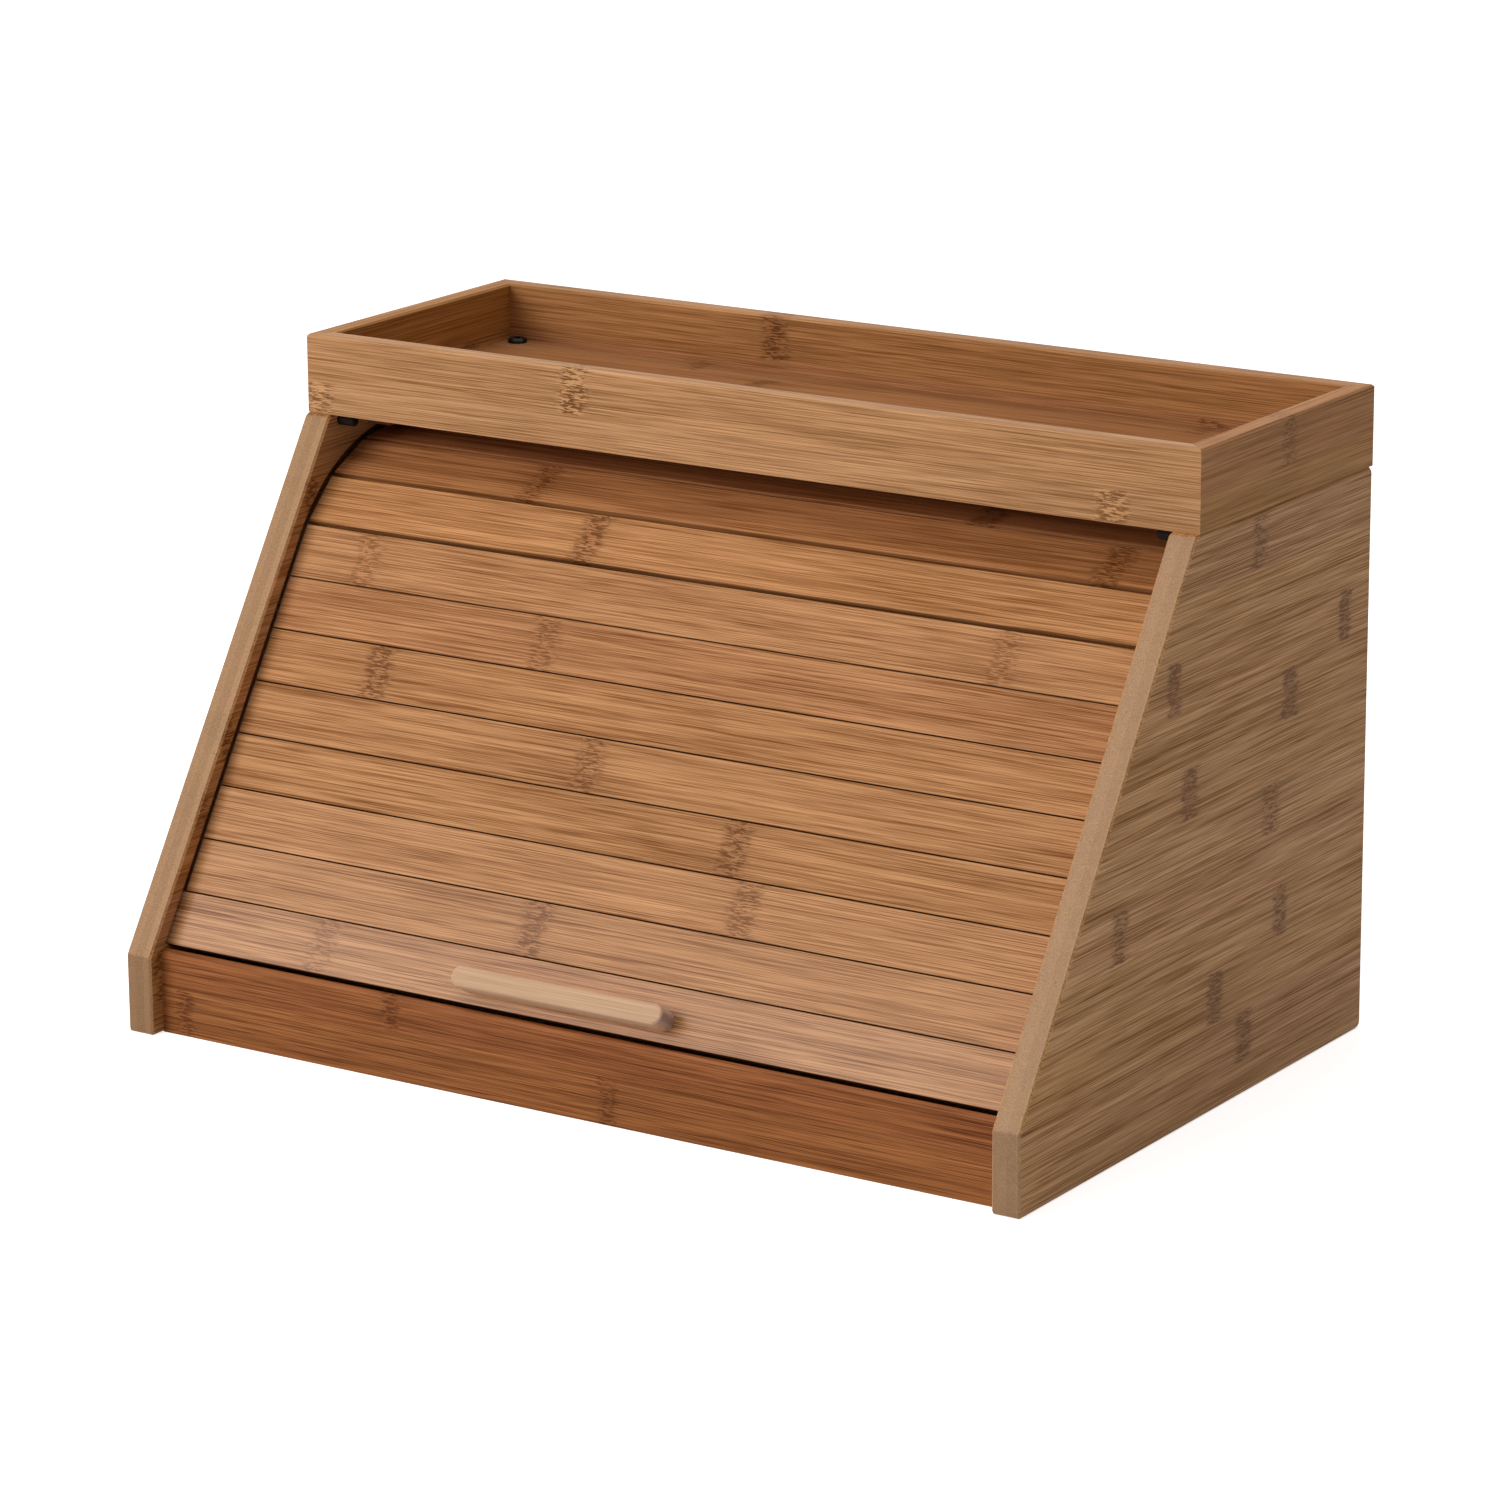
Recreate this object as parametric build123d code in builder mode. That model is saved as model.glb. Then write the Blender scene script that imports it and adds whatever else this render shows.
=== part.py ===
from build123d import *
import os
from math import asin, cos, degrees, pi, radians, sin, tan

os.makedirs("parts", exist_ok=True)

# Roll-top bread box in laminated bamboo, with an open tray on top.
# Millimetres. +X to the right, +Y to the back, +Z up, origin under the middle of the box.

# ---- driving dimensions: carcass ----
box_width = 410.0        # over the two side panels
box_depth = 264.0        # front edge to back edge of a side panel
panel_height = 227.5     # side panel, floor to top edge
panel_thickness = 12.0
nose_height = 32.0       # upright front edge of a side panel, below the slope
slope_angle = 57.4       # front slope above the horizontal, degrees
panel_corner = 3.0       # rounded corners of the panel outline
panel_toe = 1.5          # its lower front corner
edge_ease = 0.8          # eased edges of boards
rail_setback = 7.0       # front rail behind the panel's front edge
rail_height = 34.0
rail_thickness = 9.0
rail_round = 1.5
rail_gap = 2.0           # open gap between the rail's bevelled top and the lowest slat
bottom_thickness = 9.0
bottom_lift = 6.0        # underside of the bottom board above the table
back_thickness = 6.0
rebate_depth = 5.0       # back board let into each side panel
dowel_diameter = 6.0
dowel_in_panel = 8.0
dowel_in_board = 12.0
dowel_end_play = 0.5     # at each end of its hole
dowel_chamfer = 0.6
bottom_dowel_front = 59.4  # bottom board's front dowels behind the panel's front edge
bottom_dowel_back = 52.8   # its back dowels in front of the panel's back edge
glue_gap = 0.05          # round a dowel, peg or screw in its own hole

# ---- driving dimensions: tambour and its track ----
slat_pitch = 22.45       # seam to seam
slat_thickness = 6.0
slat_seam = 0.4          # open seam between neighbours
slat_round = 0.3         # long edges of the face
slat_bevel = 3.0         # long edges of the back, which lets the slats pass each other
slat_count = 12
first_seam = 8.8         # lower edge of the lowest slat, up the slope from the panel's knee
edge_to_track = 6.1      # panel edge to the track's outer wall
track_play = 1.9         # outer wall to the slats' faces
track_back_play = 0.5    # slats' backs to the track's inner wall
track_depth = 6.0        # routed into each side panel
bend_radius = 80.0       # track's outer wall round the bend
track_to_top = 7.7       # top of the bend below the panel's top edge
track_foot = 24.0        # track's lower end above the table, at the back
end_play = 0.3           # slat ends to the side panels
seat_play = 0.3          # lowest slat's tongues above the foot of the track, when shut
tongue_play = 1.0        # tongue of the lowest slat to the bottom of the track
canvas_thickness = 0.8
canvas_width = 15.5      # strip behind each slat
canvas_inset = 14.0      # strip's ends in from the slat's ends

# ---- driving dimensions: handle ----
handle_length = 97.0
handle_height = 8.2
handle_reach = 9.8       # out from the slat's face
handle_offset = -3.7     # to the left of the middle
handle_drop = 2.6        # bar's middle below the slat's middle
handle_ease = 1.2
handle_screw_spacing = 64.0
small_shank = 3.0
small_head = 5.6
handle_screw_bite = 4.0

# ---- driving dimensions: tray ----
tray_step = 2.0          # tray's front face behind the top of the slope
tray_wall_height = 32.0
tray_wall = 8.7
tray_floor_thickness = 9.0
cleat_width = 11.0
cleat_height = 7.6
cleat_front_gap = 24.0   # behind the tray's front face
cleat_back_gap = 4.0     # in front of the back board
screw_inset_x = 7.7      # tray screws in from the tray's inner walls
screw_inset_front = 21.0 # front screws behind the tray's front wall
screw_inset_back = 5.6   # back screws in front of its back wall
screw_shank = 4.0
screw_head = 8.0
screw_head_height = 2.0
screw_head_round = 1.2
socket_flats = 2.5
socket_depth = 1.2
screw_bite = 6.5         # below the tray's floor
peg_diameter = 4.2
peg_reach = 8.0
peg_drop = 2.7           # peg's centre below the tray
peg_setback = 5.0        # peg's centre behind the tray's front face
peg_tip_round = 0.8
peg_end_play = 0.5

# ---- worked out ----
half_w = box_width / 2
half_d = box_depth / 2
inner_x = half_w - panel_thickness
a = radians(slope_angle)
slope_run = (panel_height - nose_height) / tan(a)
tray_front_y = -half_d + slope_run + tray_step
tray_depth = half_d - tray_front_y
tray_floor_top = panel_height + tray_floor_thickness
back_face_y = half_d - back_thickness
rail_front_y = -half_d + rail_setback
rail_back_y = rail_front_y + rail_thickness


def on_slope(s, depth):
    """Section point (y, z): s up the slope from the knee, depth in from the panel's edge."""
    return (
        -half_d + s * cos(a) + depth * sin(a),
        nose_height + s * sin(a) - depth * cos(a),
    )


face_depth = edge_to_track + track_play
canvas_depth = face_depth + slat_thickness
bend_inset = edge_to_track + bend_radius
straight_rise = panel_height - track_to_top - bend_radius - nose_height + bend_inset * cos(a)
straight_run = straight_rise / sin(a)
bend_y, bend_z = on_slope(straight_run, bend_inset)
canvas_radius = bend_radius - track_play - slat_thickness


def on_bend(turn, radius):
    """Section point (y, z) of the bend, turned by this many radians from the slope's end."""
    return (bend_y - radius * sin(a - turn), bend_z + radius * cos(a - turn))


def crossing_turn(left):
    """Turn of the first seam on the bend, when the last one on the slope is this far below it."""
    low, high = 0.0, slat_pitch / canvas_radius
    for _ in range(50):
        turn = (low + high) / 2
        along = left + canvas_radius * sin(turn)
        drop = canvas_radius * (1 - cos(turn))
        low, high = (turn, high) if along**2 + drop**2 < slat_pitch**2 else (low, turn)
    return turn


seams = [on_slope(first_seam, canvas_depth)]
climbed, turned = first_seam, None
for _ in range(slat_count):
    if turned is not None:
        turned += 2 * asin(slat_pitch / 2 / canvas_radius)
    elif climbed + slat_pitch > straight_run:
        turned = crossing_turn(straight_run - climbed)
    else:
        climbed += slat_pitch
    seams.append(on_slope(climbed, canvas_depth) if turned is None else on_bend(turned, canvas_radius))


def slat_plane(k, x):
    """Plane of slat k's section: local x up the slat from its lower seam, local y out of its face."""
    (y0, z0), (y1, z1) = seams[k], seams[k + 1]
    return Plane(origin=(x, y0, z0), x_dir=(0, y1 - y0, z1 - z0), z_dir=(1, 0, 0))


# ---- side panels ----
def side_panel(side, label):
    with BuildPart() as panel:
        with BuildSketch(Plane.YZ.offset(side * inner_x)) as outline:
            with BuildLine():
                Polyline(
                    (-half_d, 0),
                    (-half_d, nose_height),
                    (-half_d + slope_run, panel_height),
                    (half_d, panel_height),
                    (half_d, 0),
                    close=True,
                )
            make_face()
            toe = outline.vertices().group_by(Axis.Y)[0].sort_by(Axis.X)[0]
            fillet(outline.vertices() - [toe], panel_corner)
            fillet(outline.vertices().group_by(Axis.Y)[0].sort_by(Axis.X)[0], panel_toe)
        extrude(amount=side * panel_thickness)
        rims = panel.faces().filter_by(Axis.X).edges()
        chamfer(rims, edge_ease)
        # rebate for the back board, from the inner face
        with BuildSketch(Plane.XY):
            with Locations((side * (inner_x + rebate_depth / 2), half_d - back_thickness / 2)):
                Rectangle(rebate_depth, back_thickness)
        extrude(amount=panel_height, mode=Mode.SUBTRACT)
        # routed track: up the slope, round the bend and down the back
        wall_in = canvas_depth + track_back_play
        inner_radius = canvas_radius - track_back_play
        track_start = first_seam + slat_seam / 2 - seat_play
        with BuildSketch(Plane.YZ.offset(side * inner_x)):
            with BuildLine():
                foot = on_slope(track_start, edge_to_track)
                bend_in = on_slope(straight_run, edge_to_track)
                top = on_bend(a, bend_radius)
                rear = on_bend(a + pi / 2, bend_radius)
                Line(foot, bend_in)
                ThreePointArc(bend_in, on_bend(a / 2, bend_radius), top)
                ThreePointArc(top, on_bend(a + pi / 4, bend_radius), rear)
                Line(rear, (rear[0], track_foot))
                rear_in = on_bend(a + pi / 2, inner_radius)
                Line((rear[0], track_foot), (rear_in[0], track_foot))
                Line((rear_in[0], track_foot), rear_in)
                top_in = on_bend(a, inner_radius)
                ThreePointArc(rear_in, on_bend(a + pi / 4, inner_radius), top_in)
                end_in = on_slope(straight_run, wall_in)
                ThreePointArc(top_in, on_bend(a / 2, inner_radius), end_in)
                Line(end_in, on_slope(track_start, wall_in))
                Line(on_slope(track_start, wall_in), foot)
            make_face()
        extrude(amount=side * track_depth, mode=Mode.SUBTRACT)
        # blind holes for the dowels and the stop peg
        with BuildSketch(Plane.YZ.offset(side * inner_x)):
            with Locations(*dowel_places):
                Circle(dowel_diameter / 2 + glue_gap)
        extrude(amount=side * dowel_in_panel, mode=Mode.SUBTRACT)
        with BuildSketch(Plane.YZ.offset(side * inner_x)):
            with Locations(peg_place):
                Circle(peg_diameter / 2 + glue_gap)
        extrude(amount=side * track_depth, mode=Mode.SUBTRACT)
    panel.part.label = label
    export_step(panel.part, f"parts/{label}.step")
    return panel.part


rail_dowel = ((rail_front_y + rail_back_y) / 2, rail_height / 2)
bottom_mid = bottom_lift + bottom_thickness / 2
bottom_dowels = [(bottom_dowel_front - half_d, bottom_mid), (half_d - bottom_dowel_back, bottom_mid)]
dowel_places = [rail_dowel, *bottom_dowels]
peg_place = (tray_front_y + peg_setback, panel_height - peg_drop)

side_panel(-1, "side_panel_left")
side_panel(1, "side_panel_right")

# ---- dowels, glued into the side panels and the boards between them ----
for side, hand in ((-1, "left"), (1, "right")):
    for name, (y, z) in zip(("rail", "front", "back"), dowel_places):
        with BuildPart() as dowel:
            with BuildSketch(Plane.YZ.offset(side * (inner_x - dowel_in_board + dowel_end_play))):
                with Locations((y, z)):
                    Circle(dowel_diameter / 2)
            extrude(amount=side * (dowel_in_board + dowel_in_panel - 2 * dowel_end_play))
            chamfer(dowel.faces().filter_by(Axis.X).edges(), dowel_chamfer)
        dowel.part.label = f"dowel_{name}_{hand}"
        export_step(dowel.part, f"parts/dowel_{name}_{hand}.step")

# ---- front rail: its top is bevelled to the lowest slat's edge ----
with BuildPart() as front_rail:
    bevel = first_seam + slat_seam / 2 - rail_gap
    bevel_y, bevel_z = on_slope(bevel, 0)
    meet_top = bevel_y + (bevel_z - rail_height) * tan(a)
    meet_back = bevel_z - (rail_back_y - bevel_y) / tan(a)
    with BuildSketch(Plane.YZ.offset(-inner_x)) as rail_section:
        with BuildLine():
            Polyline(
                (rail_front_y, 0),
                (rail_front_y, rail_height),
                (meet_top, rail_height),
                (rail_back_y, meet_back),
                (rail_back_y, 0),
                close=True,
            )
        make_face()
        fillet(rail_section.vertices().group_by(Axis.Y)[-1].sort_by(Axis.X)[0], rail_round)
    extrude(amount=2 * inner_x)
    for side in (-1, 1):
        with BuildSketch(Plane.YZ.offset(side * inner_x)):
            with Locations(*[rail_dowel]):
                Circle(dowel_diameter / 2 + glue_gap)
        extrude(amount=-side * dowel_in_board, mode=Mode.SUBTRACT)
front_rail.part.label = "front_rail"
export_step(front_rail.part, "parts/front_rail.step")

# ---- bottom board, between the rail and the back board ----
with BuildPart() as bottom_panel:
    with BuildSketch(Plane.XY.offset(bottom_lift)):
        with Locations((0, (rail_back_y + back_face_y) / 2)):
            Rectangle(2 * inner_x, back_face_y - rail_back_y)
    extrude(amount=bottom_thickness)
    for side in (-1, 1):
        with BuildSketch(Plane.YZ.offset(side * inner_x)):
            with Locations(*bottom_dowels):
                Circle(dowel_diameter / 2 + glue_gap)
        extrude(amount=-side * dowel_in_board, mode=Mode.SUBTRACT)
bottom_panel.part.label = "bottom_panel"
export_step(bottom_panel.part, "parts/bottom_panel.step")

# ---- back board, let into the rebates ----
with BuildPart() as back_panel:
    with BuildSketch(Plane.XY):
        with Locations((0, half_d - back_thickness / 2)):
            Rectangle(2 * (inner_x + rebate_depth), back_thickness)
    extrude(amount=panel_height)
    chamfer(back_panel.faces().sort_by(Axis.Y)[-1].edges().filter_by(Axis.X), edge_ease)
back_panel.part.label = "back_panel"
export_step(back_panel.part, "parts/back_panel.step")


# ---- tray: four walls, mitred at the corners ----
def tray_wall_board(start, end, inward, label):
    """A wall from one outer corner of the tray to the next, its ends mitred towards the inside."""
    lengthways = Axis.X if start[1] == end[1] else Axis.Y
    along = (1, 0) if lengthways == Axis.X else (0, 1)
    inner_start, inner_end = [
        (
            corner[0] + tray_wall * (inward[0] + turn * along[0]),
            corner[1] + tray_wall * (inward[1] + turn * along[1]),
        )
        for corner, turn in ((start, 1), (end, -1))
    ]
    with BuildPart() as wall:
        with BuildSketch(Plane.XY.offset(panel_height)):
            with BuildLine():
                Polyline(start, end, inner_end, inner_start, close=True)
            make_face()
        extrude(amount=tray_wall_height)
        chamfer(wall.faces().sort_by(Axis.Z)[-1].edges().filter_by(lengthways), edge_ease)
    wall.part.label = label
    export_step(wall.part, f"parts/{label}.step")


tray_wall_board((-half_w, tray_front_y), (half_w, tray_front_y), (0, 1), "tray_front")
tray_wall_board((-half_w, half_d), (half_w, half_d), (0, -1), "tray_back")
tray_wall_board((-half_w, tray_front_y), (-half_w, half_d), (1, 0), "tray_left")
tray_wall_board((half_w, tray_front_y), (half_w, half_d), (-1, 0), "tray_right")

screw_x = half_w - tray_wall - screw_inset_x
screw_rows = (tray_front_y + tray_wall + screw_inset_front, half_d - tray_wall - screw_inset_back)
screw_places = {
    "front_left": (-screw_x, screw_rows[0]),
    "front_right": (screw_x, screw_rows[0]),
    "back_left": (-screw_x, screw_rows[1]),
    "back_right": (screw_x, screw_rows[1]),
}

with BuildPart() as tray_floor:
    with BuildSketch(Plane.XY.offset(panel_height)):
        with Locations((0, half_d - tray_depth / 2)):
            Rectangle(box_width - 2 * tray_wall, tray_depth - 2 * tray_wall)
    extrude(amount=tray_floor_thickness)
    with BuildSketch(Plane.XY.offset(panel_height)):
        with Locations(*screw_places.values()):
            Circle(screw_shank / 2 + glue_gap)
    extrude(amount=tray_floor_thickness, mode=Mode.SUBTRACT)
tray_floor.part.label = "tray_floor"
export_step(tray_floor.part, "parts/tray_floor.step")

# ---- cleats inside the side panels, which the tray's screws bite into ----
cleat_front = min(tray_front_y + cleat_front_gap, screw_rows[0] - screw_head / 2)
cleat_back = back_face_y - cleat_back_gap
for side, hand in ((-1, "left"), (1, "right")):
    with BuildPart() as cleat:
        with BuildSketch(Plane.XY.offset(panel_height - cleat_height)):
            with Locations((side * (inner_x - cleat_width / 2), (cleat_front + cleat_back) / 2)):
                Rectangle(cleat_width, cleat_back - cleat_front)
        extrude(amount=cleat_height)
        with BuildSketch(Plane.XY.offset(panel_height)):
            with Locations(*[(side * screw_x, y) for y in screw_rows]):
                Circle(screw_shank / 2 + glue_gap)
        extrude(amount=-screw_bite - glue_gap, mode=Mode.SUBTRACT)
    cleat.part.label = f"tray_cleat_{hand}"
    export_step(cleat.part, f"parts/tray_cleat_{hand}.step")

# ---- tray screws: black domed heads with a hex socket ----
for name, (x, y) in screw_places.items():
    with BuildPart() as screw:
        with BuildSketch(Plane.XY.offset(tray_floor_top)):
            with Locations((x, y)):
                Circle(screw_head / 2)
        extrude(amount=screw_head_height)
        fillet(screw.edges().sort_by(Axis.Z)[-1], screw_head_round)
        with BuildSketch(Plane.XY.offset(tray_floor_top + screw_head_height)):
            with Locations((x, y)):
                RegularPolygon(socket_flats / 2 / cos(pi / 6), 6)
        extrude(amount=-socket_depth, mode=Mode.SUBTRACT)
        with BuildSketch(Plane.XY.offset(tray_floor_top)):
            with Locations((x, y)):
                Circle(screw_shank / 2)
        extrude(amount=-tray_floor_thickness - screw_bite)
    screw.part.label = f"tray_screw_{name}"
    export_step(screw.part, f"parts/tray_screw_{name}.step")

# ---- stop pegs: black, pressed into the side panels just under the tray's front ----
for side, hand in ((-1, "left"), (1, "right")):
    with BuildPart() as peg:
        with BuildSketch(Plane.YZ.offset(side * (inner_x - peg_reach))):
            with Locations(peg_place):
                Circle(peg_diameter / 2)
        extrude(amount=side * (peg_reach + track_depth - peg_end_play))
        tip = peg.faces().filter_by(Axis.X).sort_by(Axis.X)[-1 if side < 0 else 0]
        fillet(tip.edges(), peg_tip_round)
    peg.part.label = f"stop_peg_{hand}"
    export_step(peg.part, f"parts/stop_peg_{hand}.step")

# ---- tambour slats, lowest first ----
screw_xs = [handle_offset + q * handle_screw_spacing / 2 for q in (-1, 1)]
handle_rise = slat_pitch / 2 - handle_drop
for k in range(slat_count):
    reach = inner_x - end_play if k else inner_x + track_depth - tongue_play
    with BuildPart() as slat:
        with BuildSketch(slat_plane(k, -reach)) as section:
            with Locations((slat_pitch / 2, slat_thickness / 2)):
                Rectangle(slat_pitch - slat_seam, slat_thickness)
            chamfer(section.vertices().group_by(Axis.Y)[0], slat_bevel)
            fillet(section.vertices().group_by(Axis.Y)[-1], slat_round)
        extrude(amount=2 * reach)
        if k == 0:
            # countersunk holes from the back, for the handle's screws
            with Locations(*[slat_plane(0, x).location for x in screw_xs]):
                with Locations(Location((handle_rise, 0, 0), (90, 0, 0))):
                    CounterSinkHole(
                        radius=small_shank / 2 + glue_gap,
                        counter_sink_radius=small_head / 2 + glue_gap,
                        depth=slat_thickness,
                        counter_sink_angle=90,
                    )
    slat.part.label = f"slat_{k + 1:02d}"
    export_step(slat.part, f"parts/slat_{k + 1:02d}.step")

# ---- canvas strips glued to the slats' backs ----
for k in range(slat_count):
    reach = inner_x - end_play - canvas_inset
    with BuildPart() as strip:
        with BuildSketch(slat_plane(k, -reach)):
            with Locations((slat_pitch / 2, -canvas_thickness / 2)):
                Rectangle(canvas_width, canvas_thickness)
        extrude(amount=2 * reach)
    strip.part.label = f"canvas_{k + 1:02d}"
    export_step(strip.part, f"parts/canvas_{k + 1:02d}.step")

# ---- handle bar on the lowest slat, with its two screws ----
first = slat_plane(0, handle_offset)
handle_plane = Plane(
    origin=first.from_local_coords((handle_rise, slat_thickness, 0)),
    x_dir=(1, 0, 0),
    z_dir=first.y_dir,
)
with BuildPart() as handle:
    with BuildSketch(handle_plane):
        SlotOverall(handle_length, handle_height)
    extrude(amount=handle_reach)
    fillet(handle.faces().sort_by(Axis((0, 0, 0), tuple(handle_plane.z_dir)))[-1].edges(), handle_ease)
    with BuildSketch(handle_plane):
        with Locations(*[(q * handle_screw_spacing / 2, 0) for q in (-1, 1)]):
            Circle(small_shank / 2 + glue_gap)
    extrude(amount=handle_screw_bite + glue_gap, mode=Mode.SUBTRACT)
handle.part.label = "handle"
export_step(handle.part, "parts/handle.step")

for x, hand in zip(screw_xs, ("left", "right")):
    back = slat_plane(0, x)
    with BuildPart() as screw:
        head_depth = (small_head - small_shank) / 2
        spin = Plane(
            origin=back.from_local_coords((handle_rise, 0, 0)),
            x_dir=(1, 0, 0),
            z_dir=back.y_dir,
        )
        with BuildSketch(spin):
            Circle(small_head / 2)
        with BuildSketch(spin.offset(head_depth)):
            Circle(small_shank / 2)
        loft()
        with BuildSketch(spin):
            Circle(small_shank / 2)
        extrude(amount=slat_thickness + handle_screw_bite)
    screw.part.label = f"handle_screw_{hand}"
    export_step(screw.part, f"parts/handle_screw_{hand}.step")
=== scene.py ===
import math

import bpy
from mathutils import Matrix, Vector

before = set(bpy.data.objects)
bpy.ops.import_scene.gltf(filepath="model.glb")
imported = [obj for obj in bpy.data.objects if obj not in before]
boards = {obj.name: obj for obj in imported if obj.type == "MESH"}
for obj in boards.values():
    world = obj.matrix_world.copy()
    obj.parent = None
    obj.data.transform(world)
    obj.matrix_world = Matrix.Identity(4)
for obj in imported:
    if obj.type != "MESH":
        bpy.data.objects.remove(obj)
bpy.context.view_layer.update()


# ---------------------------------------------------------------- side panels
# Two end boards of caramel-steamed bamboo, glued up edge to edge from strips that lie front to back,
# three plies thick, then cut to the sloping front, routed with the shutter's track and lacquered satin.
# The long fibres show as fine streaks, and each strip has a rough brown band where the cane had a knuckle.
def add(tree, kind, plugs=None, **settings):
    made = tree.nodes.new(kind)
    for name, value in settings.items():
        setattr(made, name, value)
    for socket, value in (plugs or {}).items():
        if isinstance(value, bpy.types.NodeSocket):
            tree.links.new(value, made.inputs[socket])
        else:
            made.inputs[socket].default_value = value
    return made


def figure(tree, operation, first, second=0.0):
    return add(tree, "ShaderNodeMath", {0: first, 1: second}, operation=operation).outputs[0]


def ease(tree, value, low, high, bottom=0.0, top=1.0):
    return add(
        tree, "ShaderNodeMapRange",
        {"Value": value, "From Min": low, "From Max": high, "To Min": bottom, "To Max": top},
        interpolation_type="SMOOTHSTEP",
    ).outputs["Result"]


def blend_colours(tree, share, under, over, clamped=True):
    return add(
        tree, "ShaderNodeMix", {0: share, 6: under, 7: over}, data_type="RGBA", clamp_factor=clamped
    ).outputs[2]


def opaque(colour, strength=1.0):
    """The colour, made that much stronger or weaker, with its opacity."""
    return (*(min(1.0, strength * part) for part in colour), 1.0)


def start_material(name):
    """A new material, its nodes, its shader, and the coordinates and normals of the piece that it lies on."""
    material = bpy.data.materials.new(name)
    material.use_nodes = True
    tree = material.node_tree
    return material, tree, tree.nodes["Principled BSDF"], add(tree, "ShaderNodeTexCoord").outputs


def measure(tree, place, direction):
    """Millimetres along one direction of the board."""
    return add(
        tree, "ShaderNodeVectorMath", {0: place, 1: tuple(1000 * d for d in direction)}, operation="DOT_PRODUCT"
    ).outputs["Value"]


def facing(tree, normal, direction):
    """How squarely the surface faces along that direction, either way: 0 not at all, 1 fully."""
    turned = add(tree, "ShaderNodeVectorMath", {0: normal, 1: tuple(direction)}, operation="DOT_PRODUCT")
    return figure(tree, "ABSOLUTE", turned.outputs["Value"])


def draw_lots(tree, number, seed):
    """The same chance value and colour for everything with the same whole number."""
    return add(
        tree, "ShaderNodeTexWhiteNoise", {"W": figure(tree, "ADD", number, seed)}, noise_dimensions="1D"
    ).outputs


def streaks(tree, along, across, deep, length, width, detail=2.0, twist=0.0):
    """Noise drawn out along the fibres: streaks of that length and width in millimetres."""
    spot = add(
        tree, "ShaderNodeCombineXYZ",
        {"X": figure(tree, "DIVIDE", along, length), "Y": figure(tree, "DIVIDE", across, width),
         "Z": figure(tree, "DIVIDE", deep, width)},
    )
    noise = add(
        tree, "ShaderNodeTexNoise",
        {"Vector": spot.outputs[0], "Scale": 1.0, "Detail": detail, "Roughness": 0.6, "Distortion": twist},
    )
    return noise.outputs["Fac"]


def emboss(tree, shader, height, strength, depth):
    """Lets the light see a fine relief of that height pattern, at most depth metres deep."""
    relief = add(tree, "ShaderNodeBump", {"Strength": strength, "Distance": depth, "Height": height})
    tree.links.new(relief.outputs["Normal"], shader.inputs["Normal"])


KNUCKLE_INPUTS = ("Along", "Across", "At", "Up", "Half Length", "Half Height")


def make_knuckle():
    """Where one strip's knuckle lies: a ragged band across the strip, and the longer stained fibres round it."""
    group = bpy.data.node_groups.new("cane_knuckle", "ShaderNodeTree")
    for name in KNUCKLE_INPUTS:
        group.interface.new_socket(name, in_out="INPUT", socket_type="NodeSocketFloat")
    for name in ("Band", "Stain"):
        group.interface.new_socket(name, in_out="OUTPUT", socket_type="NodeSocketFloat")
    given, result = add(group, "NodeGroupInput").outputs, add(group, "NodeGroupOutput")
    reach = figure(group, "ABSOLUTE", figure(group, "SUBTRACT", given["Along"], given["At"]))
    reach = figure(group, "DIVIDE", reach, given["Half Length"])
    height = figure(group, "ABSOLUTE", figure(group, "SUBTRACT", given["Across"], given["Up"]))
    height = figure(group, "DIVIDE", height, given["Half Height"])
    # both fade out from their second number to their first, in shares of the half length or height
    inside = ease(group, height, 1.0, 0.93)
    band = figure(group, "MULTIPLY", ease(group, reach, 1.15, 0.35), inside)
    stain = figure(group, "MULTIPLY", ease(group, reach, 3.6, 0.4), inside)
    group.links.new(band, result.inputs["Band"])
    group.links.new(stain, result.inputs["Stain"])
    return group


cane_knuckle = make_knuckle()


def chance_knuckles(tree, along, across, chance, first, strip):
    """One knuckle in each strip, again after every length of cane between two knuckles."""
    half_cane, farthest_shift, half_length = 117.5, 940.0, 5.0
    shifted = figure(tree, "ADD", along, figure(tree, "MULTIPLY", chance, farthest_shift))
    lap = add(tree, "ShaderNodeMath", {0: shifted, 1: half_cane, 2: -half_cane}, operation="WRAP").outputs[0]
    from_first = figure(tree, "SUBTRACT", across, first)
    rise = add(tree, "ShaderNodeMath", {0: from_first, 1: strip, 2: 0.0}, operation="WRAP").outputs[0]
    return [(lap, rise, 0.0, strip / 2, half_length, strip / 2)]


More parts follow.
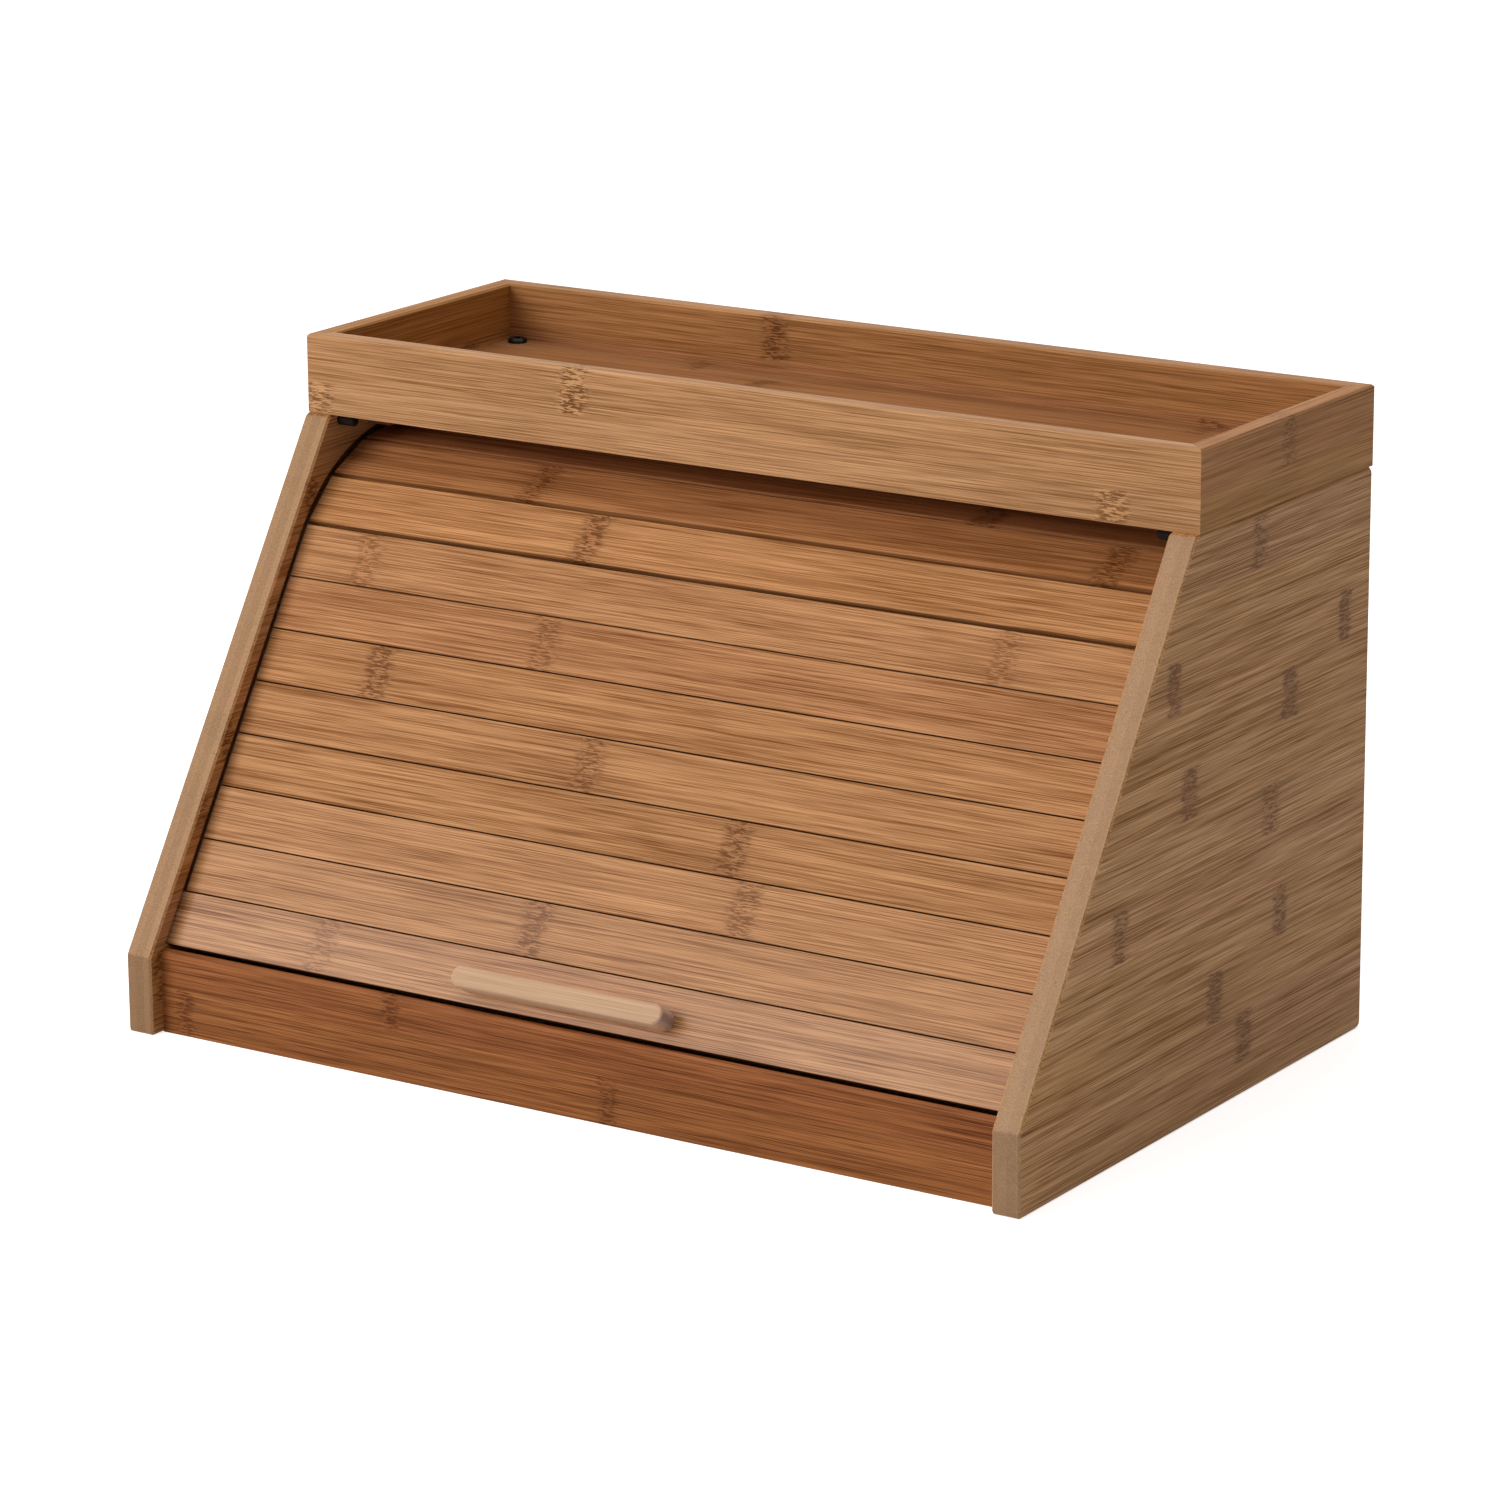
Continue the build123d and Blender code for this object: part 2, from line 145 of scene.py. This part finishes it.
def bamboo(name, grain, layers, light, dark, strip=21.3, first=13.05, seed=0.0, knuckles=None, burn=0.85,
           contrast=1.0, strip_tone=0.3, polish=0.05, soot=0.32, seam_shade=0.0, cut=None):
    """Laminated bamboo. grain runs along the fibres and layers across the strips, which are strip mm wide from
    first on. knuckles are (along, across, half length, half height) in mm, or None to place them by chance.
    burn is how dark they are and soot how dark between their fibres. contrast is how much the fibres differ,
    strip_tone how much the strips do, polish how glossy the lacquer is, seam_shade how much painted shade darkens the
    faces across the strips, which on the slats are the edge faces in the seams, and cut the colour of the end grain,
    which is paler and greyer than light unless given."""
    grain, layers = Vector(grain).normalized(), Vector(layers).normalized()
    material, tree, shader, place = start_material(name)
    along = measure(tree, place["Object"], grain)
    across = measure(tree, place["Object"], layers)
    deep = measure(tree, place["Object"], grain.cross(layers))
    number = figure(tree, "FLOOR", figure(tree, "DIVIDE", figure(tree, "SUBTRACT", across, first), strip))
    lots = draw_lots(tree, number, seed + 0.5)
    chances = add(tree, "ShaderNodeSeparateColor", {"Color": lots["Color"]}).outputs
    farthest_slide = 900.0 + 37.0 * seed
    slid = figure(tree, "ADD", along, figure(tree, "MULTIPLY", chances[0], farthest_slide))

    # Streaks by length, width, detail and twist. Each adds its share to the tone, which runs from the light
    # colour at 0 to the dark one at 1, where its noise rises from its first value to its second.
    fibres = streaks(tree, slid, across, deep, 75.0, 0.62, 2.0)
    hairs = streaks(tree, slid, across, deep, 34.0, 0.30, 1.5)
    bundles = streaks(tree, slid, across, deep, 110.0, 2.2, 2.0, 0.1)
    clouds = streaks(tree, slid, across, deep, 130.0, 7.0, 1.0, 0.2)
    shares = ((fibres, 0.43, 0.60, 0.62), (hairs, 0.45, 0.58, 0.80), (bundles, 0.38, 0.62, 0.34),
              (clouds, 0.30, 0.70, 0.34))
    tone = -0.52
    for noise, low, high, share in shares:
        tone = figure(tree, "ADD", figure(tree, "MULTIPLY", ease(tree, noise, low, high), share * contrast), tone)
    ground = blend_colours(tree, tone, opaque(light), opaque(dark), clamped=False)
    colour = add(
        tree, "ShaderNodeHueSaturation",
        {"Color": ground, "Hue": ease(tree, chances[1], 0, 1, 0.5 - 0.012 * strip_tone, 0.5 + 0.010 * strip_tone),
         "Saturation": ease(tree, chances[2], 0, 1, 1 - 0.08 * strip_tone, 1 + 0.06 * strip_tone),
         "Value": ease(tree, chances[0], 0, 1, 1 - 0.09 * strip_tone, 1 + 0.09 * strip_tone)},
    ).outputs[0]
    height = figure(tree, "ADD", figure(tree, "MULTIPLY", fibres, -0.7), figure(tree, "MULTIPLY", hairs, -0.3))

    # The knuckles: their edges wander along the fibres, and short burnt scribbles and pale flecks fill them. The
    # flecks are partly paler fibres and partly painted glints of light.
    farthest_wander = 12.0
    wander = figure(tree, "SUBTRACT", streaks(tree, slid, across, deep, 60.0, 2.2, 4.0), 0.5)
    ragged = figure(tree, "ADD", along, figure(tree, "MULTIPLY", wander, farthest_wander))
    if knuckles is None:
        placed = chance_knuckles(tree, ragged, across, chances[1], first, strip)
    else:
        placed = [(ragged, across, *knuckle) for knuckle in knuckles]
    bands, stains = None, None
    for knuckle in placed:
        plugs = dict(zip(KNUCKLE_INPUTS, knuckle))
        band, stain = add(tree, "ShaderNodeGroup", plugs, node_tree=cane_knuckle).outputs
        bands = band if bands is None else figure(tree, "MAXIMUM", bands, band)
        stains = stain if stains is None else figure(tree, "MAXIMUM", stains, stain)
    if placed:
        scribble = ease(tree, streaks(tree, slid, across, deep, 4.5, 0.65, 2.0, 0.6), 0.45, 0.57)
        strength = ease(tree, chances[2], 0, 1, 0.75 * burn, 1.2 * burn)
        scribble_share = figure(tree, "MULTIPLY", strength, ease(tree, scribble, 0, 1, soot, 1.0))
        burnt = figure(tree, "MULTIPLY", bands, scribble_share)
        stained = figure(tree, "MULTIPLY", stains, ease(tree, fibres, 0.46, 0.60, 0.0, 0.55 * burn))
        # pale flecks between the scribbles: partly paler fibres, partly painted highlights
        flecks = figure(tree, "MULTIPLY", bands, ease(tree, scribble, 0, 0.4, 0.85 - 1.3 * soot, 0.0))
        colour = blend_colours(tree, stained, colour, opaque(dark, 0.70))
        colour = blend_colours(tree, flecks, colour, opaque(light, 1.25))
        colour = blend_colours(tree, burnt, colour, (0.50 * dark[0], 0.40 * dark[1], 0.25 * dark[2], 1))
        height = figure(tree, "ADD", height, figure(tree, "MULTIPLY", burnt, -0.6))

    # The end grain: cut fibres show as pores, in plies that differ a little.
    ply_thickness, ply_start = 4.0, 0.7
    ply = figure(tree, "FLOOR", figure(tree, "DIVIDE", figure(tree, "ADD", deep, ply_start), ply_thickness))
    ply_tone = ease(tree, draw_lots(tree, ply, seed + 9.5)["Value"], 0, 1, 0.90, 1.08)
    endwise = facing(tree, place["Normal"], grain)
    ply_tone = figure(tree, "MULTIPLY", ply_tone, ease(tree, endwise, 0.86, 0.99, 1.0, 0.74))
    pores = ease(tree, streaks(tree, slid, across, deep, 5.0, 0.42, 2.0), 0.42, 0.66)
    cut = cut or [part * change for part, change in zip(light, (0.92, 1.03, 1.42))]
    pored = blend_colours(tree, pores, opaque(cut), opaque(cut, 0.70))
    pored = add(tree, "ShaderNodeHueSaturation", {"Color": pored, "Value": ply_tone, "Saturation": 0.92}).outputs[0]
    colour = blend_colours(tree, ease(tree, endwise, 0.5, 0.8, 0.0, 0.85), colour, pored)

    # Painted shade: the faces across the strips are darkened towards a deep brown. On the slats these are the edge
    # faces, where shade falls in the seams.
    if seam_shade:
        seam_shade_share = ease(tree, facing(tree, place["Normal"], layers), 0.30, 0.75, 0.0, seam_shade)
        colour = blend_colours(tree, seam_shade_share, colour, (0.25 * dark[0], 0.20 * dark[1], 0.15 * dark[2], 1))

    tree.links.new(colour, shader.inputs["Base Color"])
    tree.links.new(ease(tree, fibres, 0.3, 0.7, 0.42, 0.56), shader.inputs["Roughness"])
    emboss(tree, shader, height, 0.35, 0.00025)
    shader.inputs["Specular IOR Level"].default_value = 0.08
    shader.inputs["Coat Weight"].default_value = polish
    shader.inputs["Coat Roughness"].default_value = 0.34
    return material


def finish(material, *names):
    """Gives the named parts of the frame that material in all their slots."""
    for name in names:
        for held in boards[name].material_slots:
            held.material = material


FRONT_TO_BACK, LEFT_TO_RIGHT, UPWARD = (0, 1, 0), (1, 0, 0), (0, 0, 1)
panel_light, panel_dark = (0.680, 0.366, 0.162), (0.405, 0.190, 0.060)
panel_cut = (0.505, 0.288, 0.146)
panel_half_strip = 10.4
# depth, height and half length in mm of each knuckle that the photograph shows on the right panel
right_panel_knuckles = [
    (41.4, 215.4, 7.0), (-22.5, 172.8, 6.0), (111.5, 172.8, 5.5), (67.6, 151.5, 7.0), (-9.8, 130.2, 7.0),
    (53.2, 108.9, 8.0), (-61.1, 87.6, 7.0), (62.9, 66.3, 6.5), (12.0, 45.0, 7.0), (34.8, 23.7, 7.5),
]
finish(
    bamboo("panel_bamboo_right", FRONT_TO_BACK, UPWARD, panel_light, panel_dark, seed=3.0, burn=1.2, cut=panel_cut,
           contrast=1.15, strip_tone=0.2, soot=0.38,
           knuckles=[(y, z, reach, panel_half_strip) for y, z, reach in right_panel_knuckles]),
    "side_panel_right",
)
left_light, left_dark = (0.470, 0.222, 0.084), (0.290, 0.120, 0.034)
left_cut = (0.460, 0.252, 0.114)
finish(bamboo("panel_bamboo_left", FRONT_TO_BACK, UPWARD, left_light, left_dark, seed=11.0, cut=left_cut),
       "side_panel_left")


# ------------------------------------------------- rail, bottom and back boards
# The rail is a redder, darker board of two strips that closes the foot of the front and stops the shutter.
# The bottom and back are thinner plain boards of the same bamboo between the panels, glued on beech dowels.
rail_light, rail_dark = (0.355, 0.126, 0.036), (0.185, 0.056, 0.013)
rail_split, rail_upper, rail_lower = -1.8, 29.4, 8.9
bottom_first, back_first = -6.0, 4.0
finish(
    bamboo("rail_bamboo", LEFT_TO_RIGHT, UPWARD, rail_light, rail_dark, first=rail_split, seed=2.0,
           knuckles=[(-181.8, rail_lower, 5.0, 10.4), (-80.8, rail_upper, 4.5, 10.0), (20.8, rail_lower, 5.0, 10.4)]),
    "front_rail",
)
board_light, board_dark = (0.460, 0.222, 0.082), (0.280, 0.122, 0.034)
finish(
    bamboo("bottom_bamboo", LEFT_TO_RIGHT, FRONT_TO_BACK, board_light, board_dark, first=bottom_first, seed=5.0),
    "bottom_panel",
)
finish(
    bamboo("back_bamboo", LEFT_TO_RIGHT, UPWARD, board_light, board_dark, first=back_first, seed=7.0),
    "back_panel",
)


# --------------------------------------------------------------------- dowels
# Six turned beech pegs, glued into the ends of the rail, the bottom board and the panels.
# Beech is paler than bamboo, with short dark flecks and no knuckles.
def beech():
    material, tree, shader, place = start_material("beech")
    along, across, deep = (measure(tree, place["Object"], way) for way in (LEFT_TO_RIGHT, FRONT_TO_BACK, UPWARD))
    flecks = streaks(tree, along, across, deep, 2.5, 0.4)
    rings = streaks(tree, along, across, deep, 40.0, 2.5)
    pale, ringed, flecked = (0.60, 0.40, 0.23, 1), (0.47, 0.29, 0.16, 1), (0.30, 0.16, 0.08, 1)
    colour = blend_colours(tree, ease(tree, rings, 0.35, 0.65), pale, ringed)
    colour = blend_colours(tree, ease(tree, flecks, 0.58, 0.70, 0, 0.6), colour, flecked)
    tree.links.new(colour, shader.inputs["Base Color"])
    tree.links.new(ease(tree, flecks, 0.3, 0.7, 0.55, 0.7), shader.inputs["Roughness"])
    emboss(tree, shader, flecks, 0.3, 0.0002)
    return material


finish(beech(), *[f"dowel_{board}_{side}" for board in ("rail", "front", "back") for side in ("left", "right")])


# ----------------------------------------------------------------------- tray
# An open tray of bamboo: four walls on edge, mitred and glued at the corners, round a floor of wider strips.
# Each wall is one whole strip with a narrow one glued below it, so the knuckles stand in the upper or lower part.
tray_light, tray_dark = (0.575, 0.302, 0.134), (0.350, 0.168, 0.064)
back_wall_light, back_wall_dark = (0.470, 0.214, 0.084), (0.290, 0.120, 0.038)
end_wall_light, end_wall_dark = (0.505, 0.230, 0.070), (0.330, 0.134, 0.029)
tray_floor_light, tray_floor_dark = (0.370, 0.162, 0.062), (0.236, 0.094, 0.032)
wall_split, floor_first, cleat_first = 240.6, 2.0, 210.0
upper, upper_half, lower, lower_half = 250.3, 9.6, 234.0, 6.4
finish(
    bamboo("tray_front_bamboo", LEFT_TO_RIGHT, UPWARD, tray_light, tray_dark, first=wall_split, seed=1.0,
           strip_tone=0.15, soot=0.08,
           knuckles=[(-75.1, upper, 8.5, upper_half), (167.0, lower, 8.5, lower_half),
                     (-199.0, lower, 8.0, lower_half)]),
    "tray_front",
)
finish(
    bamboo("tray_back_bamboo", LEFT_TO_RIGHT, UPWARD, back_wall_light, back_wall_dark, first=wall_split, seed=4.0,
           knuckles=[(-63.8, upper, 8.0, upper_half), (139.0, lower, 7.0, lower_half)]),
    "tray_back",
)
finish(
    bamboo("tray_right_bamboo", FRONT_TO_BACK, UPWARD, end_wall_light, end_wall_dark, first=wall_split, seed=6.0,
           knuckles=[(63.8, upper, 7.0, upper_half)]),
    "tray_right",
)
finish(
    bamboo("tray_left_bamboo", FRONT_TO_BACK, UPWARD, end_wall_light, end_wall_dark, first=wall_split, seed=8.0,
           soot=0.4, knuckles=[(96.0, lower, 7.0, lower_half)]),
    "tray_left",
)
finish(
    bamboo("tray_floor_bamboo", LEFT_TO_RIGHT, FRONT_TO_BACK, tray_floor_light, tray_floor_dark,
           first=floor_first, seed=9.0),
    "tray_floor",
)
finish(
    bamboo("cleat_bamboo", FRONT_TO_BACK, UPWARD, rail_light, rail_dark, first=cleat_first, seed=10.0, knuckles=[]),
    "tray_cleat_left", "tray_cleat_right",
)


# ---------------------------------------------------------------- tray screws
# Four steel screws with low round heads and a hexagon socket, blackened in an oxide bath, go down through
# the tray's floor into the cleats. The finish is dull black with a worn, slightly brighter bloom.
def steel(name, deep_tone, bright_tone, metallic, roughness, bloom):
    """Steel between two tones, in clouds of bloom mm."""
    material, tree, shader, place = start_material(name)
    along, across, deep = (measure(tree, place["Object"], way) for way in (LEFT_TO_RIGHT, FRONT_TO_BACK, UPWARD))
    cloud = streaks(tree, along, across, deep, bloom, bloom, 4.0)
    grit = streaks(tree, along, across, deep, 0.25, 0.25, 2.0)
    colour = blend_colours(tree, ease(tree, cloud, 0.35, 0.70), opaque(deep_tone), opaque(bright_tone))
    tree.links.new(colour, shader.inputs["Base Color"])
    tree.links.new(ease(tree, cloud, 0.3, 0.7, roughness - 0.08, roughness + 0.08), shader.inputs["Roughness"])
    emboss(tree, shader, grit, 0.2, 0.00005)
    shader.inputs["Metallic"].default_value = metallic
    return material


oxide_deep, oxide_bright = (0.012, 0.012, 0.013), (0.035, 0.034, 0.034)
finish(
    steel("black_steel", oxide_deep, oxide_bright, metallic=0.85, roughness=0.42, bloom=1.6),
    *[f"tray_screw_{end}_{side}" for end in ("front", "back") for side in ("left", "right")],
)


# ------------------------------------------------------------------ stop pegs
# Two black rubber pegs, pushed into the panels just under the tray's front edge as stops or bumpers.
# The moulded skin is matt with a fine even grain.
def rubber():
    material, tree, shader, place = start_material("black_rubber")
    along, across, deep = (measure(tree, place["Object"], way) for way in (LEFT_TO_RIGHT, FRONT_TO_BACK, UPWARD))
    skin = streaks(tree, along, across, deep, 0.3, 0.3, 3.0)
    dust = streaks(tree, along, across, deep, 2.2, 2.2, 3.0)
    clean, dusty = (0.009, 0.005, 0.004, 1), (0.018, 0.013, 0.011, 1)
    colour = blend_colours(tree, ease(tree, dust, 0.45, 0.75), clean, dusty)
    tree.links.new(colour, shader.inputs["Base Color"])
    tree.links.new(ease(tree, dust, 0.3, 0.7, 0.72, 0.90), shader.inputs["Roughness"])
    shader.inputs["Specular IOR Level"].default_value = 0.12
    emboss(tree, shader, skin, 0.4, 0.00008)
    return material


finish(rubber(), "stop_peg_left", "stop_peg_right")


# ---------------------------------------------------------------------- slats
# Twelve bamboo slats, each one strip cut from its own board, so that every one has its own tone and knuckles.
# Their edges are eased, they meet in fine seams made dark by painted shade on their edge faces, and they are held
# together only by the canvas behind.
def up_the_slat(slat):
    """The slat's own direction across its grain, taken from its broadest face, and its middle along it in mm."""
    face = max(slat.data.polygons, key=lambda polygon: polygon.area)
    up = face.normal.cross(Vector(LEFT_TO_RIGHT))
    up = up if up.z > 0 else -up
    heights = [corner.co.dot(up) for corner in slat.data.vertices]
    return up, 500 * (min(heights) + max(heights))


slat_light, slat_dark = (0.555, 0.264, 0.112), (0.318, 0.128, 0.043)
# lightness and redness of each slat from the lowest up, and the knuckles' places from the middle of the box, in mm;
# the top three slats are made darker and redder as painted shade from the tray above them
slats = [
    (0.98, 1.01, (-121.3,)),
    (0.96, 1.01, (-28.5,)),
    (1.00, 1.01, (59.6,)),
    (0.96, 1.00, (47.4,)),
    (0.94, 1.02, (-27.2,)),
    (0.98, 1.01, (-136.5,)),
    (0.88, 1.06, (-64.4,)),
    (0.97, 1.03, (-158.3, 136.2)),
    (1.00, 1.02, (-60.8,)),
    # painted shade: these three top slats, under the tray, are darker and redder
    (0.90, 1.10, (164.4, -98.0)),
    (0.90, 1.12, (98.6,)),
    (0.86, 1.12, (-120.0,)),
]
whole_width = 200.0  # half height of a knuckle that runs right across its slat
one_strip, strip_start = 400.0, -100.0  # a strip far wider than the slat, so that no joint shows in it
lowest_gloss, gloss_step, least_gloss = 0.46, 0.15, 0.05
# painted shade in the seams: strong on the slats of the slope, light on the bend
slats_on_slope, slope_seam_shade, bend_seam_shade = 7, 0.9, 0.3  # the edges show more where the shutter bends
for place, (lightness_and_shade, redness_and_shade, knots) in enumerate(slats):
    number = f"{place + 1:02d}"
    slat_up, middle = up_the_slat(boards[f"slat_{number}"])
    tones = [
        (c[0] * lightness_and_shade * redness_and_shade, c[1] * lightness_and_shade, c[2] * lightness_and_shade / redness_and_shade) for c in (slat_light, slat_dark)
    ]
    reaches = (8.0, 7.0)
    finish(
        bamboo(f"slat_{number}_bamboo", LEFT_TO_RIGHT, slat_up, *tones, strip=one_strip, first=strip_start,
               seed=20.0 + 3.0 * place, strip_tone=0.2, burn=0.75,
               polish=max(least_gloss, lowest_gloss - gloss_step * place),
               seam_shade=slope_seam_shade if place < slats_on_slope else bend_seam_shade,
               knuckles=[(x, middle, reach, whole_width) for x, reach in zip(knots, reaches)]),
        f"slat_{number}",
    )


# --------------------------------------------------------------------- canvas
# Strips of plain-woven cotton canvas glued along the backs of the slats, which make the shutter bend.
# The threads cross about every three quarters of a millimetre, with uneven, slightly slubbed yarn.
def canvas_cloth():
    material, tree, shader, place = start_material("canvas")
    along, up, deep = (measure(tree, place["Object"], way) for way in (LEFT_TO_RIGHT, UP_THE_SLOPE, FRONT_TO_BACK))
    thread = 0.75
    weft = figure(tree, "SINE", figure(tree, "MULTIPLY", along, math.pi / thread))
    warp = figure(tree, "SINE", figure(tree, "MULTIPLY", up, math.pi / thread))
    weave = figure(tree, "MULTIPLY", weft, warp)
    slub = streaks(tree, along, up, deep, 6.0, 0.7, 3.0)
    height = figure(tree, "ADD", figure(tree, "MULTIPLY", weave, 0.5), slub)
    # Painted shade: the colour follows the weave's relief, darker in the hollows between the threads and lighter on
    # the crests and slubs.
    between, crest = (0.30, 0.24, 0.155, 1), (0.54, 0.45, 0.31, 1)
    colour = blend_colours(tree, ease(tree, height, -0.1, 1.0), between, crest)
    tree.links.new(colour, shader.inputs["Base Color"])
    tree.links.new(ease(tree, slub, 0.3, 0.7, 0.82, 0.95), shader.inputs["Roughness"])
    emboss(tree, shader, height, 0.7, 0.0003)
    shader.inputs["Sheen Weight"].default_value = 0.15
    return material


slope = math.radians(57.4)
UP_THE_SLOPE = (0, math.cos(slope), math.sin(slope))
finish(canvas_cloth(), *[f"canvas_{place + 1:02d}" for place in range(len(slats))])


# --------------------------------------------------------------------- handle
# A pale bar of bamboo with fully rounded ends, set on edge and screwed to the lowest slat from behind.
# It is cut from lighter, straighter wood than the slats and has no knuckle in it.
handle_light, handle_dark = (0.612, 0.385, 0.232), (0.500, 0.294, 0.160)
finish(
    bamboo("handle_bamboo", LEFT_TO_RIGHT, UP_THE_SLOPE, handle_light, handle_dark, strip=one_strip,
           first=strip_start, seed=40.0, knuckles=[], contrast=0.75),
    "handle",
)
zinc_deep, zinc_bright = (0.42, 0.42, 0.41), (0.60, 0.60, 0.61)
finish(
    steel("zinc_steel", zinc_deep, zinc_bright, metallic=1.0, roughness=0.36, bloom=2.4),
    "handle_screw_left", "handle_screw_right",
)


# ------------------------------------------------------- floor, light and view
# A plain white studio: a wide floor that keeps the soft shadow, one big lamp low in front to the left,
# a wide soft one overhead, and an even white surround. The white floor throws light back on the sides.
def seen_rays(tree):
    """1 for the rays that look at the studio, straight, in a gloss or through something clear, and else 0."""
    ray = add(tree, "ShaderNodeLightPath").outputs
    straight_or_gloss = figure(tree, "MAXIMUM", ray["Is Camera Ray"], ray["Is Glossy Ray"])
    return figure(tree, "MAXIMUM", straight_or_gloss, ray["Is Transmission Ray"])


def white_floor():
    size, paper_white, floor_glow = 4.0, 0.84, 0.74
    mesh = bpy.data.meshes.new("studio_floor")
    corners = [(-size, -size, 0), (size, -size, 0), (size, size, 0), (-size, size, 0)]
    mesh.from_pydata(corners, [], [(0, 1, 2, 3)])
    floor = bpy.data.objects.new("studio_floor", mesh)
    bpy.context.scene.collection.objects.link(floor)
    material = bpy.data.materials.new("studio_white")
    material.use_nodes = True
    tree = material.node_tree
    tree.nodes.clear()
    paper = add(tree, "ShaderNodeBsdfDiffuse", {"Color": (paper_white, paper_white, paper_white, 1)})
    glow = add(tree, "ShaderNodeEmission",
               {"Color": (1, 1, 1, 1), "Strength": figure(tree, "MULTIPLY", seen_rays(tree), floor_glow)})
    both = add(tree, "ShaderNodeAddShader", {0: paper.outputs[0], 1: glow.outputs[0]})
    out = add(tree, "ShaderNodeOutputMaterial")
    tree.links.new(both.outputs[0], out.inputs["Surface"])
    mesh.materials.append(material)


def lamp(name, place, wide, tall, power):
    """A soft lamp of that size in metres and power in watts, turned to the middle of the box."""
    data = bpy.data.lights.new(name, "AREA")
    data.shape, data.size, data.size_y, data.energy = "RECTANGLE", wide, tall, power
    made = bpy.data.objects.new(name, data)
    made.location = place
    middle_of_box = Vector((0, 0, 0.1))
    made.rotation_euler = (middle_of_box - Vector(place)).to_track_quat("-Z", "Y").to_euler()
    bpy.context.scene.collection.objects.link(made)


white_floor()
lamp("big_lamp_front_left", (-1.3, -2.15, 1.2), wide=1.6, tall=1.2, power=40.2)
lamp("soft_lamp_overhead", (-0.3, 0.2, 2.3), wide=2.2, tall=2.2, power=28.5)

world = bpy.data.worlds.new("studio_surround")
world.use_nodes = True
air = world.node_tree
air.nodes.clear()
ambient = 0.20
level = figure(air, "ADD", figure(air, "MULTIPLY", seen_rays(air), 1.0 - ambient), ambient)
sky = add(air, "ShaderNodeBackground", {"Color": (1, 1, 1, 1), "Strength": level})
air.links.new(sky.outputs[0], add(air, "ShaderNodeOutputWorld").inputs["Surface"])
bpy.context.scene.world = world

# The view: from the front right and a little above, through a long lens, as the photograph was taken. The
# camera's distance from the middle of the foot, and how far it stands aside and below, are in metres.
turn, lift, tilt = math.radians(33.268), math.radians(15.464), math.radians(-0.35)
distance, aside, below = 2.3377, -0.00241, -0.11051
sensor_width, focal_length = 36.0, 141.63
back = Vector((math.sin(turn) * math.cos(lift), -math.cos(turn) * math.cos(lift), math.sin(lift)))
level_right = Vector((math.cos(turn), math.sin(turn), 0))
level_up = back.cross(level_right)
right = math.cos(tilt) * level_right + math.sin(tilt) * level_up
up = -math.sin(tilt) * level_right + math.cos(tilt) * level_up
lens = bpy.data.cameras.new("studio_camera")
lens.sensor_width, lens.lens = sensor_width, focal_length
camera = bpy.data.objects.new("studio_camera", lens)
bpy.context.scene.collection.objects.link(camera)
camera.matrix_world = Matrix.Translation(distance * back - aside * right - below * up) @ Matrix(
    (right, up, back)
).transposed().to_4x4()
bpy.context.scene.camera = camera
bpy.context.scene.view_settings.view_transform = "Standard"
